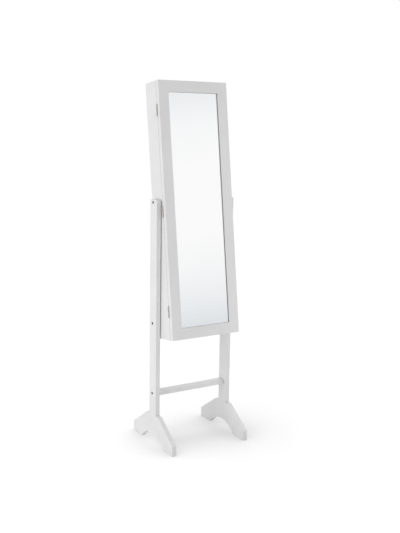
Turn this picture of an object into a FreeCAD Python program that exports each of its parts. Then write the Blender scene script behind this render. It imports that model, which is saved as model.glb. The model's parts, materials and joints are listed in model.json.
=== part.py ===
# Jewelry cabinet behind a full-length mirror door, hung between two posts on arched feet.
#
# Millimetres. World frame: x to the right and y to the back for someone facing the mirror,
# z up, origin on the floor midway between the feet.
# The box and the door are drawn upright in the cabinet frame, whose origin lies on the tilt
# axis, and are leaned back at the end until the box rests on the upper crossbar.
import FreeCAD, Part
import math
import os

from FreeCAD import Vector

RIGHT = Vector(1, 0, 0)
BACK = Vector(0, 1, 0)
UP = Vector(0, 0, 1)
ORIGIN = Vector(0, 0, 0)

# ---- Clearances ----------------------------------------------------------------------------------
MOVING_GAP = 0.4          # air between pieces that move past each other
RUNNING_CLEARANCE = 0.05  # radial, shaft in its bore
BOLT_CLEARANCE = 0.3      # radial, bolt shank in a drilled board
GLASS_CLEARANCE = 1.0     # round the mirror in its rebate

# ---- Cabinet box, upright, measured from the tilt axis -------------------------------------------
CABINET_WIDTH = 325.0
TOP_ABOVE_AXIS = 484.0
BOTTOM_BELOW_AXIS = 565.0
RIM_AHEAD_OF_AXIS = 39.5
BACK_BEHIND_AXIS = 47.5
PANEL = 12.0
BACK_BOARD = 3.0
BACK_REBATE = 8.0         # how far the back board reaches into each panel
LINING = 2.0
REAR_PAD_RADIUS = 8.0
REAR_PAD = 1.0
REAR_PAD_INSET = 14.0     # pad centre from the side of the box

# ---- Mirror door ---------------------------------------------------------------------------------
DOOR_GAP = 1.5            # between the rim of the box and the back of the door
DOOR_THICKNESS = 17.5
FRAME_WIDTH = 46.5
FRAME_LIP = 5.3           # thickness of the frame in front of the glass
FRAME_REBATE = 9.0        # how far the lip covers the rebate
FRONT_ROUNDING = 3.0
LIP_BEVEL = 1.5
GLASS = 3.0
BACKING = 3.0
BEAD_WIDTH = 8.0
BEAD_END_GAP = 0.3        # glazing bead short of the corner at each end

# ---- Stand ---------------------------------------------------------------------------------------
BOARD = 19.0              # thickness of the posts and feet
SIDE_GAP = 3.2            # between the box and each post
POST_WIDTH = 56.0
POST_ABOVE_AXIS = 11.0
POST_ROUNDING = 5.0
AXIS_HEIGHT = 1026.0
BOLT_LINE = 5.0           # tilt axis, bolts and crossbars, behind the middle of the posts
CROSSBAR_DEPTH = 36.0
CROSSBAR_HEIGHT = 18.5
CROSSBAR_ROUNDING = 1.5
UPPER_CROSSBAR_ABOVE_BOX = 60.5   # above the bottom of the upright box
LOWER_CROSSBAR_LEVEL = 218.5
FOOT_LENGTH = 346.0
FOOT_HEIGHT = 126.0
FOOT_END_HEIGHT = 42.0
FOOT_SHOULDER = 96.0      # length of the flat top
FOOT_ROUNDING = 6.0
ARCH_SPAN = 196.0
ARCH_RISE = 44.8

# ---- Stand fasteners -----------------------------------------------------------------------------
BOLT_RADIUS = 3.0
BOLT_HEAD_RADIUS = 6.0
BOLT_HEAD = 6.0
HEAD_SINK = 1.0           # head top below the face of the board
HEX_SOCKET = 2.5          # half the width across flats
HEX_DEPTH = 2.5
BARREL_NUT_RADIUS = 5.0
BARREL_NUT = 12.0
CROSSBAR_BOLT_REACH = 34.0   # barrel nut centre from the end of the crossbar
FOOT_BOLT_REACH = 34.0       # barrel nut centre above the foot
FOOT_BOLT_SEAT = 12.0        # bolt head seat above the crown of the arch
BOLT_TAIL = 8.0              # bolt beyond the middle of its barrel nut
STAND_DOWEL_RADIUS = 3.0
STAND_DOWEL = 24.0
CROSSBAR_DOWEL_OFFSET = 11.0
FOOT_DOWEL_OFFSET = 17.0
PIVOT_RADIUS = 4.0
PIVOT_HEAD_RADIUS = 5.5
PIVOT_HEAD = 5.0
INSERT_RADIUS = 7.0
INSERT_FLANGE_RADIUS = 10.0
INSERT_FLANGE = 1.5
PIVOT_WASHER_RADIUS = 10.0

# ---- Hinges --------------------------------------------------------------------------------------
HINGE_LENGTH = 45.0
HINGE_END_INSET = 118.0   # hinge centre from the top and the bottom of the box
KNUCKLES = 5
KNUCKLE_GAP = 0.4
LEAF = 1.2
LEAF_SINK = 0.9           # leaf let into the wood
LEAF_MARGIN = 1.0         # leaf edge from the inside of the panel
BARREL_RADIUS = 2.4
BARREL_STANDOFF = 0.3     # between the barrel and the side of the box
HINGE_PIN_RADIUS = 1.25
PIN_HEAD_RADIUS = 2.0
PIN_HEAD = 0.8
HINGE_HOLE_SPACING = 14.5
HINGE_HOLE_RADIUS = 1.4
COUNTERSINK_RADIUS = 2.7

# ---- Dowels of the box and of the door frame -----------------------------------------------------
DOWEL_RADIUS = 3.0
DOWEL = 30.0
DOWEL_IN_SIDE = 8.0
DOWEL_INSET = 22.0        # carcass dowels from the front and the back of the box

# ---- Magnetic catches and door buffers -----------------------------------------------------------
CATCH_LENGTH = 46.0
CATCH_WIDTH = 14.0
CATCH_DEPTH = 15.0
CATCH_MARGIN = 10.0       # from the top panel and from the lowest guard rail
CATCH_SETBACK = 0.6       # housing behind the rim
MAGNET_LENGTH = 30.0
MAGNET_WIDTH = 8.0
MAGNET_DEPTH = 11.0
STRIKE_LENGTH = 38.0
STRIKE_WIDTH = 12.0
STRIKE = 0.9
BUFFER_RADIUS = 4.0
BUFFER = 1.0
BUFFER_INSET = 14.0

# ---- Jewelry fittings ----------------------------------------------------------------------------
HOUSING = 3.0             # how far shelves and rails are let into the side panels
SHELF = 8.0
SHELF_SETBACK = 4.0       # shelf edge behind the rim
NECKLACE_BAY = 402.0      # clear height under the top panel
MIDDLE_BAY_FLOOR = 283.0  # top of the middle shelf above the bottom panel
LOWER_BAY_FLOOR = 138.0   # top of the lower shelf above the bottom panel
HOOK_STRIP = 3.5
HOOK_STRIP_HEIGHT = 24.0
HOOK_STRIP_DROP = 30.0    # strip below the top panel
HOOK_PITCH = 20.0
HOOK_END_INSET = 18.0     # first hook from the side panel
HOOK_WIDTH = 4.5
HOOK = 3.2                # thickness of the hook's arm
HOOK_REACH = 17.0
HOOK_RISE = 9.0           # straight tip above the underside of the arm
HOOK_BEND = 6.0           # outer radius of the bend
CUSHION_ROLLS = 6
ROLL_PITCH = 13.0
ROLL_BULGE = 5.5
CUSHION_BASE = 6.0
CUSHION_MARGIN = 3.0      # beside the side panels
CUSHION_DROP = 14.0       # below the upper shelf
EARRING_BARS = 3
EARRING_BAR_PITCH = 38.0
EARRING_BAR_HEIGHT = 14.0
EARRING_BAR = 4.0
EARRING_BAR_AHEAD = 24.0  # in front of the lining
EARRING_BAR_DROP = 40.0   # first bar below the ring cushion
NOTCH = 2.4
NOTCH_DEPTH = 6.0
NOTCH_PITCH = 17.0
NOTCH_END_INSET = 15.0    # first notch from the side panel
BRACELET_ROD_RADIUS = 6.0
BRACELET_ROD_AHEAD = 38.0
BRACELET_ROD_DROP = 48.0  # below the lowest earring bar
GUARD_RAIL = 5.0
GUARD_RAIL_HEIGHT = 16.0
GUARD_RAIL_RISE = 14.0    # above the shelf

# ---- Derived planes ------------------------------------------------------------------------------
HALF_WIDTH = CABINET_WIDTH / 2
INNER_X = HALF_WIDTH - PANEL
TOP_Z = TOP_ABOVE_AXIS
BOTTOM_Z = -BOTTOM_BELOW_AXIS
CEILING_Z = TOP_Z - PANEL
FLOOR_Z = BOTTOM_Z + PANEL
RIM_Y = -RIM_AHEAD_OF_AXIS
BACK_Y = BACK_BEHIND_AXIS
LINING_Y = BACK_Y - BACK_BOARD - LINING
DOOR_BACK_Y = RIM_Y - DOOR_GAP
DOOR_FRONT_Y = DOOR_BACK_Y - DOOR_THICKNESS
GLASS_Y = DOOR_FRONT_Y + FRAME_LIP
BEAD_Y = GLASS_Y + GLASS + BACKING
REBATE_INSET = FRAME_WIDTH - FRAME_REBATE
HINGE_X = -HALF_WIDTH - BARREL_STANDOFF - BARREL_RADIUS
HINGE_Y = RIM_Y - DOOR_GAP / 2
HINGE_LEVELS = {
    "upper": TOP_Z - HINGE_END_INSET,
    "middle": (TOP_Z + BOTTOM_Z) / 2,
    "lower": BOTTOM_Z + HINGE_END_INSET,
}
SHELF_LEVELS = {
    "upper": CEILING_Z - NECKLACE_BAY,
    "middle": FLOOR_Z + MIDDLE_BAY_FLOOR,
    "lower": FLOOR_Z + LOWER_BAY_FLOOR,
}
CUSHION_TOP_Z = SHELF_LEVELS["upper"] - SHELF - CUSHION_DROP
CUSHION_BOTTOM_Z = CUSHION_TOP_Z - CUSHION_ROLLS * ROLL_PITCH
FIRST_EARRING_BAR_Z = CUSHION_BOTTOM_Z - EARRING_BAR_DROP
BRACELET_ROD_Z = FIRST_EARRING_BAR_Z - (EARRING_BARS - 1) * EARRING_BAR_PITCH - BRACELET_ROD_DROP
UPPER_CROSSBAR_LEVEL = AXIS_HEIGHT + BOTTOM_Z + UPPER_CROSSBAR_ABOVE_BOX
POST_INNER_X = HALF_WIDTH + SIDE_GAP
POST_OUTER_X = POST_INNER_X + BOARD


# ---- Helpers -------------------------------------------------------------------------------------
def box(x0, x1, y0, y1, z0, z1):
    return Part.makeBox(x1 - x0, y1 - y0, z1 - z0, Vector(x0, y0, z0))


def both_sides(shape):
    return [shape, shape.mirror(ORIGIN, RIGHT)]


def group(shapes):
    return Part.makeCompound(shapes)


def outline_face(points):
    return Part.Face(Part.makePolygon(points + points[:1]))


def rounded(shape, radius, along, corners):
    """Round the edges parallel to `along` that pass through the given corners."""
    edges = []
    for edge in shape.Edges:
        start = edge.Vertexes[0].Point
        run = edge.Vertexes[-1].Point - start
        if run.Length < radius or run.cross(along).Length > 1e-6 * run.Length:
            continue
        if any((start - corner).cross(along).Length < 1e-6 for corner in corners):
            edges.append(edge)
    return shape.makeFillet(radius, edges)


def hexagon(center, axis, half_width, depth):
    """Six-sided prism that grows from `center` along `axis`."""
    across = BACK if abs(axis.dot(BACK)) < 0.5 else RIGHT
    arm = across * (half_width / math.cos(math.pi / 6))
    turn = FreeCAD.Rotation(axis, 60)
    corners = []
    for _ in range(6):
        corners.append(center + arm)
        arm = turn.multVec(arm)
    return outline_face(corners).extrude(axis * depth)


def socket_bolt(seat, direction, radius, length, head_radius, head):
    """Bolt whose head seats at `seat`; the shank runs along `direction`."""
    back = direction * -1
    shank = Part.makeCylinder(radius, length, seat, direction)
    cap = Part.makeCylinder(head_radius, head, seat, back)
    socket = hexagon(seat + back * head, direction, HEX_SOCKET, HEX_DEPTH)
    return shank.fuse(cap).cut(socket)


def barrel_nut(center, axis, bolt_direction):
    """Cross dowel nut centred on the bolt that screws through it."""
    barrel = Part.makeCylinder(BARREL_NUT_RADIUS, BARREL_NUT, center - axis * (BARREL_NUT / 2), axis)
    reach = bolt_direction * (2 * BARREL_NUT_RADIUS)
    bore = Part.makeCylinder(BOLT_RADIUS, reach.Length * 2, center - reach, bolt_direction)
    return barrel.cut(bore)


def spread(half_width, pitch):
    """Evenly pitched places across the box, centred, as many as fit between -+half_width."""
    count = int(2 * half_width / pitch) + 1
    first = -(count - 1) * pitch / 2
    return [first + index * pitch for index in range(count)]


def rest_edge():
    """Centre of the upper crossbar's rounded top front edge: ahead of and below the tilt axis."""
    ahead = CROSSBAR_DEPTH / 2 - CROSSBAR_ROUNDING
    below = AXIS_HEIGHT - UPPER_CROSSBAR_LEVEL - CROSSBAR_HEIGHT / 2 + CROSSBAR_ROUNDING
    return ahead, below


def rest_tilt():
    """Lean in degrees at which the pads on the back of the box meet the upper crossbar."""
    ahead, below = rest_edge()
    reach = BACK_Y + REAR_PAD + MOVING_GAP + CROSSBAR_ROUNDING
    return math.degrees(math.asin(reach / math.hypot(ahead, below)) + math.atan2(ahead, below))


def rest_contact_z():
    """Level in the cabinet frame at which the box meets the upper crossbar."""
    ahead, below = rest_edge()
    tilt = math.radians(rest_tilt())
    return -ahead * math.sin(tilt) - below * math.cos(tilt)


def leaned(shape):
    """Move a shape from the cabinet frame to its place in the stand."""
    return shape.rotated(ORIGIN, RIGHT, -rest_tilt()).translated(Vector(0, BOLT_LINE, AXIS_HEIGHT))


# ---- Stand ---------------------------------------------------------------------------------------
def crossbar_bolt_seat():
    """Depth of the crossbar bolts' head seats in the outer faces of the posts."""
    return BOLT_HEAD + HEAD_SINK


def right_crossbar_bolt(level):
    seat = Vector(POST_OUTER_X - crossbar_bolt_seat(), BOLT_LINE, level)
    length = seat.x - POST_INNER_X + CROSSBAR_BOLT_REACH + BOLT_TAIL
    return socket_bolt(seat, RIGHT * -1, BOLT_RADIUS, length, BOLT_HEAD_RADIUS, BOLT_HEAD)


def right_crossbar_nut(level):
    center = Vector(POST_INNER_X - CROSSBAR_BOLT_REACH, BOLT_LINE, level)
    return barrel_nut(center, UP, RIGHT)


def right_crossbar_dowels(level):
    dowels = []
    for offset in (-CROSSBAR_DOWEL_OFFSET, CROSSBAR_DOWEL_OFFSET):
        start = Vector(POST_INNER_X - STAND_DOWEL / 2, BOLT_LINE + offset, level)
        dowels.append(Part.makeCylinder(STAND_DOWEL_RADIUS, STAND_DOWEL, start, RIGHT))
    return dowels


def foot_center_x():
    return (POST_INNER_X + POST_OUTER_X) / 2


def right_foot_bolt():
    seat = Vector(foot_center_x(), 0, ARCH_RISE + FOOT_BOLT_SEAT)
    length = FOOT_HEIGHT - seat.z + FOOT_BOLT_REACH + BOLT_TAIL
    return socket_bolt(seat, UP, BOLT_RADIUS, length, BOLT_HEAD_RADIUS, BOLT_HEAD)


def right_foot_nut():
    return barrel_nut(Vector(foot_center_x(), 0, FOOT_HEIGHT + FOOT_BOLT_REACH), BACK, UP)


def right_foot_dowels():
    dowels = []
    for offset in (-FOOT_DOWEL_OFFSET, FOOT_DOWEL_OFFSET):
        start = Vector(foot_center_x(), offset, FOOT_HEIGHT - STAND_DOWEL / 2)
        dowels.append(Part.makeCylinder(STAND_DOWEL_RADIUS, STAND_DOWEL, start, UP))
    return dowels


def right_foot():
    """Arched foot: two pads on the floor, straight slopes and a flat shoulder for the post."""
    x = POST_INNER_X
    heel = FOOT_LENGTH / 2
    shoulder = FOOT_SHOULDER / 2
    springing = ARCH_SPAN / 2
    upper = [
        Vector(x, springing, 0),
        Vector(x, heel, 0),
        Vector(x, heel, FOOT_END_HEIGHT),
        Vector(x, shoulder, FOOT_HEIGHT),
        Vector(x, -shoulder, FOOT_HEIGHT),
        Vector(x, -heel, FOOT_END_HEIGHT),
        Vector(x, -heel, 0),
        Vector(x, -springing, 0),
    ]
    arch = Part.Arc(upper[-1], Vector(x, 0, ARCH_RISE), upper[0]).toShape()
    outline = Part.Wire(Part.makePolygon(upper).Edges + [arch])
    foot = Part.Face(outline).extrude(RIGHT * BOARD)
    foot = rounded(foot, FOOT_ROUNDING, RIGHT, [upper[2], upper[3], upper[4], upper[5]])
    seat = Vector(foot_center_x(), 0, 0)
    head_hole = Part.makeCylinder(
        BOLT_HEAD_RADIUS + BOLT_CLEARANCE, ARCH_RISE + FOOT_BOLT_SEAT, seat, UP)
    shank_hole = Part.makeCylinder(BOLT_RADIUS + BOLT_CLEARANCE, FOOT_HEIGHT, seat, UP)
    return foot.cut([head_hole, shank_hole] + right_foot_dowels())


def right_post():
    """Flat upright with sunk bolt heads on its outer face and a nut hole in its back edge."""
    top = AXIS_HEIGHT + POST_ABOVE_AXIS
    half = POST_WIDTH / 2
    post = box(POST_INNER_X, POST_OUTER_X, -half, half, FOOT_HEIGHT, top)
    post = rounded(post, POST_ROUNDING, RIGHT, [Vector(0, -half, top), Vector(0, half, top)])
    pivot = Vector(POST_INNER_X, BOLT_LINE, AXIS_HEIGHT)
    pivot_hole = Part.makeCylinder(PIVOT_RADIUS + RUNNING_CLEARANCE, BOARD, pivot, RIGHT)
    pivot_recess = Part.makeCylinder(
        PIVOT_HEAD_RADIUS + MOVING_GAP, pivot_head_recess(), pivot + RIGHT * BOARD, RIGHT * -1)
    cuts = [pivot_hole, pivot_recess]
    for level in (UPPER_CROSSBAR_LEVEL, LOWER_CROSSBAR_LEVEL):
        inner = Vector(POST_INNER_X, BOLT_LINE, level)
        cuts.append(Part.makeCylinder(BOLT_RADIUS + BOLT_CLEARANCE, BOARD, inner, RIGHT))
        cuts.append(Part.makeCylinder(
            BOLT_HEAD_RADIUS + BOLT_CLEARANCE, crossbar_bolt_seat(), inner + RIGHT * BOARD, RIGHT * -1))
        cuts += right_crossbar_dowels(level)
    foot_top = Vector(foot_center_x(), 0, FOOT_HEIGHT)
    cuts.append(Part.makeCylinder(
        BOLT_RADIUS + BOLT_CLEARANCE, FOOT_BOLT_REACH + BOLT_TAIL + BOLT_CLEARANCE, foot_top, UP))
    nut_hole = Vector(foot_center_x(), half, FOOT_HEIGHT + FOOT_BOLT_REACH)
    cuts.append(Part.makeCylinder(BARREL_NUT_RADIUS, half + BARREL_NUT / 2, nut_hole, BACK * -1))
    cuts += right_foot_dowels()
    return post.cut(cuts)


def crossbar(level):
    """Board laid flat between the posts, with nut holes in its underside."""
    front = BOLT_LINE - CROSSBAR_DEPTH / 2
    rear = BOLT_LINE + CROSSBAR_DEPTH / 2
    low = level - CROSSBAR_HEIGHT / 2
    high = level + CROSSBAR_HEIGHT / 2
    bar = box(-POST_INNER_X, POST_INNER_X, front, rear, low, high)
    corners = [Vector(0, y, z) for y in (front, rear) for z in (low, high)]
    bar = rounded(bar, CROSSBAR_ROUNDING, RIGHT, corners)
    depth = CROSSBAR_BOLT_REACH + BOLT_TAIL + BOLT_CLEARANCE
    bolt_hole = Part.makeCylinder(
        BOLT_RADIUS + BOLT_CLEARANCE, depth, Vector(POST_INNER_X, BOLT_LINE, level), RIGHT * -1)
    nut_hole = Part.makeCylinder(
        BARREL_NUT_RADIUS, (CROSSBAR_HEIGHT + BARREL_NUT) / 2,
        Vector(POST_INNER_X - CROSSBAR_BOLT_REACH, BOLT_LINE, low), UP)
    cuts = []
    for cut in [bolt_hole, nut_hole] + right_crossbar_dowels(level):
        cuts += both_sides(cut)
    return bar.cut(cuts)


def stand_pieces():
    foot = right_foot()
    post = right_post()
    levels = (UPPER_CROSSBAR_LEVEL, LOWER_CROSSBAR_LEVEL)
    bolts = []
    nuts = []
    dowels = []
    for level in levels:
        bolts += both_sides(right_crossbar_bolt(level))
        nuts += both_sides(right_crossbar_nut(level))
        for dowel in right_crossbar_dowels(level):
            dowels += both_sides(dowel)
    foot_dowels = []
    for dowel in right_foot_dowels():
        foot_dowels += both_sides(dowel)
    return {
        "right_foot": foot,
        "left_foot": foot.mirror(ORIGIN, RIGHT),
        "right_post": post,
        "left_post": post.mirror(ORIGIN, RIGHT),
        "upper_crossbar": crossbar(UPPER_CROSSBAR_LEVEL),
        "lower_crossbar": crossbar(LOWER_CROSSBAR_LEVEL),
        "crossbar_bolts": group(bolts),
        "crossbar_barrel_nuts": group(nuts),
        "crossbar_dowels": group(dowels),
        "foot_bolts": group(both_sides(right_foot_bolt())),
        "foot_barrel_nuts": group(both_sides(right_foot_nut())),
        "foot_dowels": group(foot_dowels),
    }


# ---- Pivot ---------------------------------------------------------------------------------------
def pivot_head_recess():
    return PIVOT_HEAD + HEAD_SINK + MOVING_GAP


def right_pivot_bolt():
    """Shoulder bolt that turns in the post and is screwed into the insert in the box."""
    seat = Vector(POST_OUTER_X - HEAD_SINK - PIVOT_HEAD, 0, 0)
    return socket_bolt(
        seat, RIGHT * -1, PIVOT_RADIUS, seat.x - INNER_X, PIVOT_HEAD_RADIUS, PIVOT_HEAD)


def right_pivot_insert():
    """Threaded sleeve pressed in from inside the box until its flange seats."""
    sleeve = Part.makeCylinder(INSERT_RADIUS, PANEL, Vector(INNER_X, 0, 0), RIGHT)
    flange = Part.makeCylinder(
        INSERT_FLANGE_RADIUS, INSERT_FLANGE, Vector(INNER_X - INSERT_FLANGE, 0, 0), RIGHT)
    bore = Part.makeCylinder(
        PIVOT_RADIUS, PANEL + INSERT_FLANGE, Vector(INNER_X - INSERT_FLANGE, 0, 0), RIGHT)
    return sleeve.fuse(flange).cut(bore)


def right_pivot_washer():
    thickness = SIDE_GAP - MOVING_GAP
    start = Vector(HALF_WIDTH, 0, 0)
    ring = Part.makeCylinder(PIVOT_WASHER_RADIUS, thickness, start, RIGHT)
    return ring.cut(Part.makeCylinder(PIVOT_RADIUS, thickness, start, RIGHT))


# ---- Jewelry fittings ----------------------------------------------------------------------------
def shelf(level):
    half = INNER_X + HOUSING
    return box(-half, half, RIM_Y + SHELF_SETBACK, LINING_Y, level - SHELF, level)


def guard_rail(level):
    """Strip across the front of a bay that keeps things from sliding off its floor."""
    half = INNER_X + HOUSING
    front = RIM_Y + SHELF_SETBACK
    low = level + GUARD_RAIL_RISE
    return box(-half, half, front, front + GUARD_RAIL, low, low + GUARD_RAIL_HEIGHT)


def guard_rails():
    return [guard_rail(level) for level in (SHELF_LEVELS["middle"], SHELF_LEVELS["lower"], FLOOR_Z)]


def earring_bar(index):
    """Flat bar on edge, let into the side panels, with notches for the hooks of earrings."""
    half = INNER_X + HOUSING
    front = LINING_Y - EARRING_BAR_AHEAD
    low = FIRST_EARRING_BAR_Z - index * EARRING_BAR_PITCH
    high = low + EARRING_BAR_HEIGHT
    bar = box(-half, half, front, front + EARRING_BAR, low, high)
    notches = []
    for x in spread(INNER_X - NOTCH_END_INSET, NOTCH_PITCH):
        left = x - NOTCH / 2
        notches.append(box(left, left + NOTCH, front, front + EARRING_BAR, high - NOTCH_DEPTH, high))
    return bar.cut(notches)


def earring_bars():
    return [earring_bar(index) for index in range(EARRING_BARS)]


def bracelet_rod():
    half = INNER_X + HOUSING
    start = Vector(-half, LINING_Y - BRACELET_ROD_AHEAD, BRACELET_ROD_Z)
    return Part.makeCylinder(BRACELET_ROD_RADIUS, 2 * half, start, RIGHT)


def necklace_hook(x, low):
    """Flat J: an arm out of the strip, a bend and a rounded tip."""
    face = LINING_Y - HOOK_STRIP

    def at(ahead, above):
        return Vector(x - HOOK_WIDTH / 2, face - ahead, low + above)

    inner_bend = HOOK_BEND - HOOK
    bend_start = HOOK_REACH - HOOK_BEND
    slant = math.sqrt(0.5)
    outer_middle = at(bend_start + HOOK_BEND * slant, HOOK_BEND * (1 - slant))
    inner_middle = at(bend_start + inner_bend * slant, HOOK_BEND - inner_bend * slant)
    tip = at(HOOK_REACH - HOOK / 2, HOOK_RISE + HOOK / 2)
    front = at(HOOK_REACH, HOOK_RISE)
    rear = at(HOOK_REACH - HOOK, HOOK_RISE)
    outline = Part.Wire([
        Part.LineSegment(at(0, HOOK), at(0, 0)).toShape(),
        Part.LineSegment(at(0, 0), at(bend_start, 0)).toShape(),
        Part.Arc(at(bend_start, 0), outer_middle, at(HOOK_REACH, HOOK_BEND)).toShape(),
        Part.LineSegment(at(HOOK_REACH, HOOK_BEND), front).toShape(),
        Part.Arc(front, tip, rear).toShape(),
        Part.LineSegment(rear, at(HOOK_REACH - HOOK, HOOK_BEND)).toShape(),
        Part.Arc(at(HOOK_REACH - HOOK, HOOK_BEND), inner_middle, at(bend_start, HOOK)).toShape(),
        Part.LineSegment(at(bend_start, HOOK), at(0, HOOK)).toShape(),
    ])
    return Part.Face(outline).extrude(RIGHT * HOOK_WIDTH)


def necklace_hook_strip():
    """Moulded strip across the back of the upper bay with a row of hooks."""
    high = CEILING_Z - HOOK_STRIP_DROP
    low = high - HOOK_STRIP_HEIGHT
    strip = box(-INNER_X, INNER_X, LINING_Y - HOOK_STRIP, LINING_Y, low, high)
    arm_low = (low + high - HOOK) / 2
    hooks = [necklace_hook(x, arm_low) for x in spread(INNER_X - HOOK_END_INSET, HOOK_PITCH)]
    return strip.multiFuse(hooks).removeSplitter()


def ring_cushion():
    """Padded rolls side by side; a ring is pushed into the valley between two of them."""
    x = -INNER_X + CUSHION_MARGIN
    valley_y = LINING_Y - CUSHION_BASE
    corner = Vector(x, LINING_Y, CUSHION_BOTTOM_Z)
    start = Vector(x, valley_y, CUSHION_BOTTOM_Z)
    edges = [Part.LineSegment(corner, start).toShape()]
    for _ in range(CUSHION_ROLLS):
        end = start + UP * ROLL_PITCH
        crown = (start + end) * 0.5 - BACK * ROLL_BULGE
        edges.append(Part.Arc(start, crown, end).toShape())
        start = end
    top = Vector(x, LINING_Y, CUSHION_TOP_Z)
    edges.append(Part.LineSegment(start, top).toShape())
    edges.append(Part.LineSegment(top, corner).toShape())
    return Part.Face(Part.Wire(edges)).extrude(RIGHT * (-2 * x))


# ---- Box -----------------------------------------------------------------------------------------
def back_panel_blank():
    reach = INNER_X + BACK_REBATE
    low = FLOOR_Z - BACK_REBATE
    high = CEILING_Z + BACK_REBATE
    return box(-reach, reach, BACK_Y - BACK_BOARD, BACK_Y, low, high)


def right_carcass_dowels(panel_z):
    dowels = []
    for y in (RIM_Y + DOWEL_INSET, BACK_Y - DOWEL_INSET):
        start = Vector(INNER_X + DOWEL_IN_SIDE, y, panel_z)
        dowels.append(Part.makeCylinder(DOWEL_RADIUS, DOWEL, start, RIGHT * -1))
    return dowels


def carcass_dowels():
    dowels = []
    for panel_z in (TOP_Z - PANEL / 2, BOTTOM_Z + PANEL / 2):
        for dowel in right_carcass_dowels(panel_z):
            dowels += both_sides(dowel)
    return dowels


def end_panel(low):
    """Top or bottom panel, held between the side panels by dowels."""
    panel = box(-INNER_X, INNER_X, RIM_Y, BACK_Y, low, low + PANEL)
    return panel.cut([back_panel_blank()] + carcass_dowels())


def side_panel():
    """Right side panel, cut wherever another piece is let into it."""
    panel = box(INNER_X, HALF_WIDTH, RIM_Y, BACK_Y, BOTTOM_Z, TOP_Z)
    insert_hole = Part.makeCylinder(INSERT_RADIUS, PANEL, Vector(INNER_X, 0, 0), RIGHT)
    shelves = [shelf(level) for level in SHELF_LEVELS.values()]
    cuts = [back_panel_blank(), insert_hole, bracelet_rod()]
    cuts += shelves + guard_rails() + earring_bars() + carcass_dowels()
    return panel.cut(cuts)


def left_side_panel(panel):
    """Mirror image of the right one, with the hinge leaves let in."""
    leaves = [leaf_plate(level, cabinet_leaf_y()) for level in HINGE_LEVELS.values()]
    return panel.mirror(ORIGIN, RIGHT).cut(leaves)


def back_lining():
    return box(-INNER_X, INNER_X, LINING_Y, BACK_Y - BACK_BOARD, FLOOR_Z, CEILING_Z)


def rear_pads():
    x = HALF_WIDTH - REAR_PAD_INSET
    pad = Part.makeCylinder(REAR_PAD_RADIUS, REAR_PAD, Vector(x, BACK_Y, rest_contact_z()), BACK)
    return both_sides(pad)


# ---- Hinges --------------------------------------------------------------------------------------
def cabinet_leaf_y():
    """Front face of the cabinet leaves, just proud of the rim."""
    return RIM_Y + LEAF_SINK - LEAF


def door_leaf_y():
    """Front face of the door leaves, let into the back of the door."""
    return DOOR_BACK_Y - LEAF_SINK


def leaf_plate(level, y):
    half = HINGE_LENGTH / 2
    inner = -INNER_X - LEAF_MARGIN
    return box(-HALF_WIDTH, inner, y, y + LEAF, level - half, level + half)


def leaf_holes(level, y, direction):
    """Three countersunk screw holes, widest on the face that `direction` enters."""
    x = -HALF_WIDTH + PANEL / 2
    face = y if direction.y > 0 else y + LEAF
    holes = []
    for offset in (-HINGE_HOLE_SPACING, 0, HINGE_HOLE_SPACING):
        holes.append(Part.makeCone(
            COUNTERSINK_RADIUS, HINGE_HOLE_RADIUS, LEAF, Vector(x, face, level + offset), direction))
    return holes


def hinge_leaf(level, y, direction, own_knuckles, bore):
    """Plate with its share of the knuckles, bored for the pin."""
    pitch = HINGE_LENGTH / KNUCKLES
    pieces = []
    for index in own_knuckles:
        low = level - HINGE_LENGTH / 2 + index * pitch + KNUCKLE_GAP / 2
        length = pitch - KNUCKLE_GAP
        pieces.append(box(HINGE_X, -HALF_WIDTH, y, y + LEAF, low, low + length))
        pieces.append(Part.makeCylinder(BARREL_RADIUS, length, Vector(HINGE_X, HINGE_Y, low), UP))
    hole = Part.makeCylinder(
        bore, HINGE_LENGTH, Vector(HINGE_X, HINGE_Y, level - HINGE_LENGTH / 2), UP)
    leaf = leaf_plate(level, y).multiFuse(pieces).removeSplitter()
    return leaf.cut([hole] + leaf_holes(level, y, direction))


def cabinet_leaf(level):
    return hinge_leaf(level, cabinet_leaf_y(), BACK, range(0, KNUCKLES, 2), HINGE_PIN_RADIUS)


def door_leaf(level):
    bore = HINGE_PIN_RADIUS + RUNNING_CLEARANCE
    return hinge_leaf(level, door_leaf_y(), BACK * -1, range(1, KNUCKLES, 2), bore)


def hinge_pin(level):
    """Pin held by the cabinet leaf, with a button on each end."""
    half = HINGE_LENGTH / 2
    low = Vector(HINGE_X, HINGE_Y, level - half)
    high = Vector(HINGE_X, HINGE_Y, level + half)
    pin = Part.makeCylinder(HINGE_PIN_RADIUS, HINGE_LENGTH, low, UP)
    foot = Part.makeCylinder(PIN_HEAD_RADIUS, PIN_HEAD, low, UP * -1)
    head = Part.makeCylinder(PIN_HEAD_RADIUS, PIN_HEAD, high, UP)
    half_gap = KNUCKLE_GAP / 2
    foot_neck = Part.makeCylinder(PIN_HEAD_RADIUS, half_gap, low, UP)
    head_neck = Part.makeCylinder(PIN_HEAD_RADIUS, half_gap, high, UP * -1)
    return pin.multiFuse([foot, head, foot_neck, head_neck]).removeSplitter()


# ---- Catches -------------------------------------------------------------------------------------
def catch_levels():
    half = CATCH_LENGTH / 2
    rail_top = FLOOR_Z + GUARD_RAIL_RISE + GUARD_RAIL_HEIGHT
    return (CEILING_Z - CATCH_MARGIN - half, rail_top + CATCH_MARGIN + half)


def strike_front_y():
    return DOOR_BACK_Y + STRIKE


def magnet(level):
    x = INNER_X - CATCH_WIDTH / 2
    half = MAGNET_LENGTH / 2
    front = strike_front_y() + MOVING_GAP
    return box(
        x - MAGNET_WIDTH / 2, x + MAGNET_WIDTH / 2, front, front + MAGNET_DEPTH,
        level - half, level + half)


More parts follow.
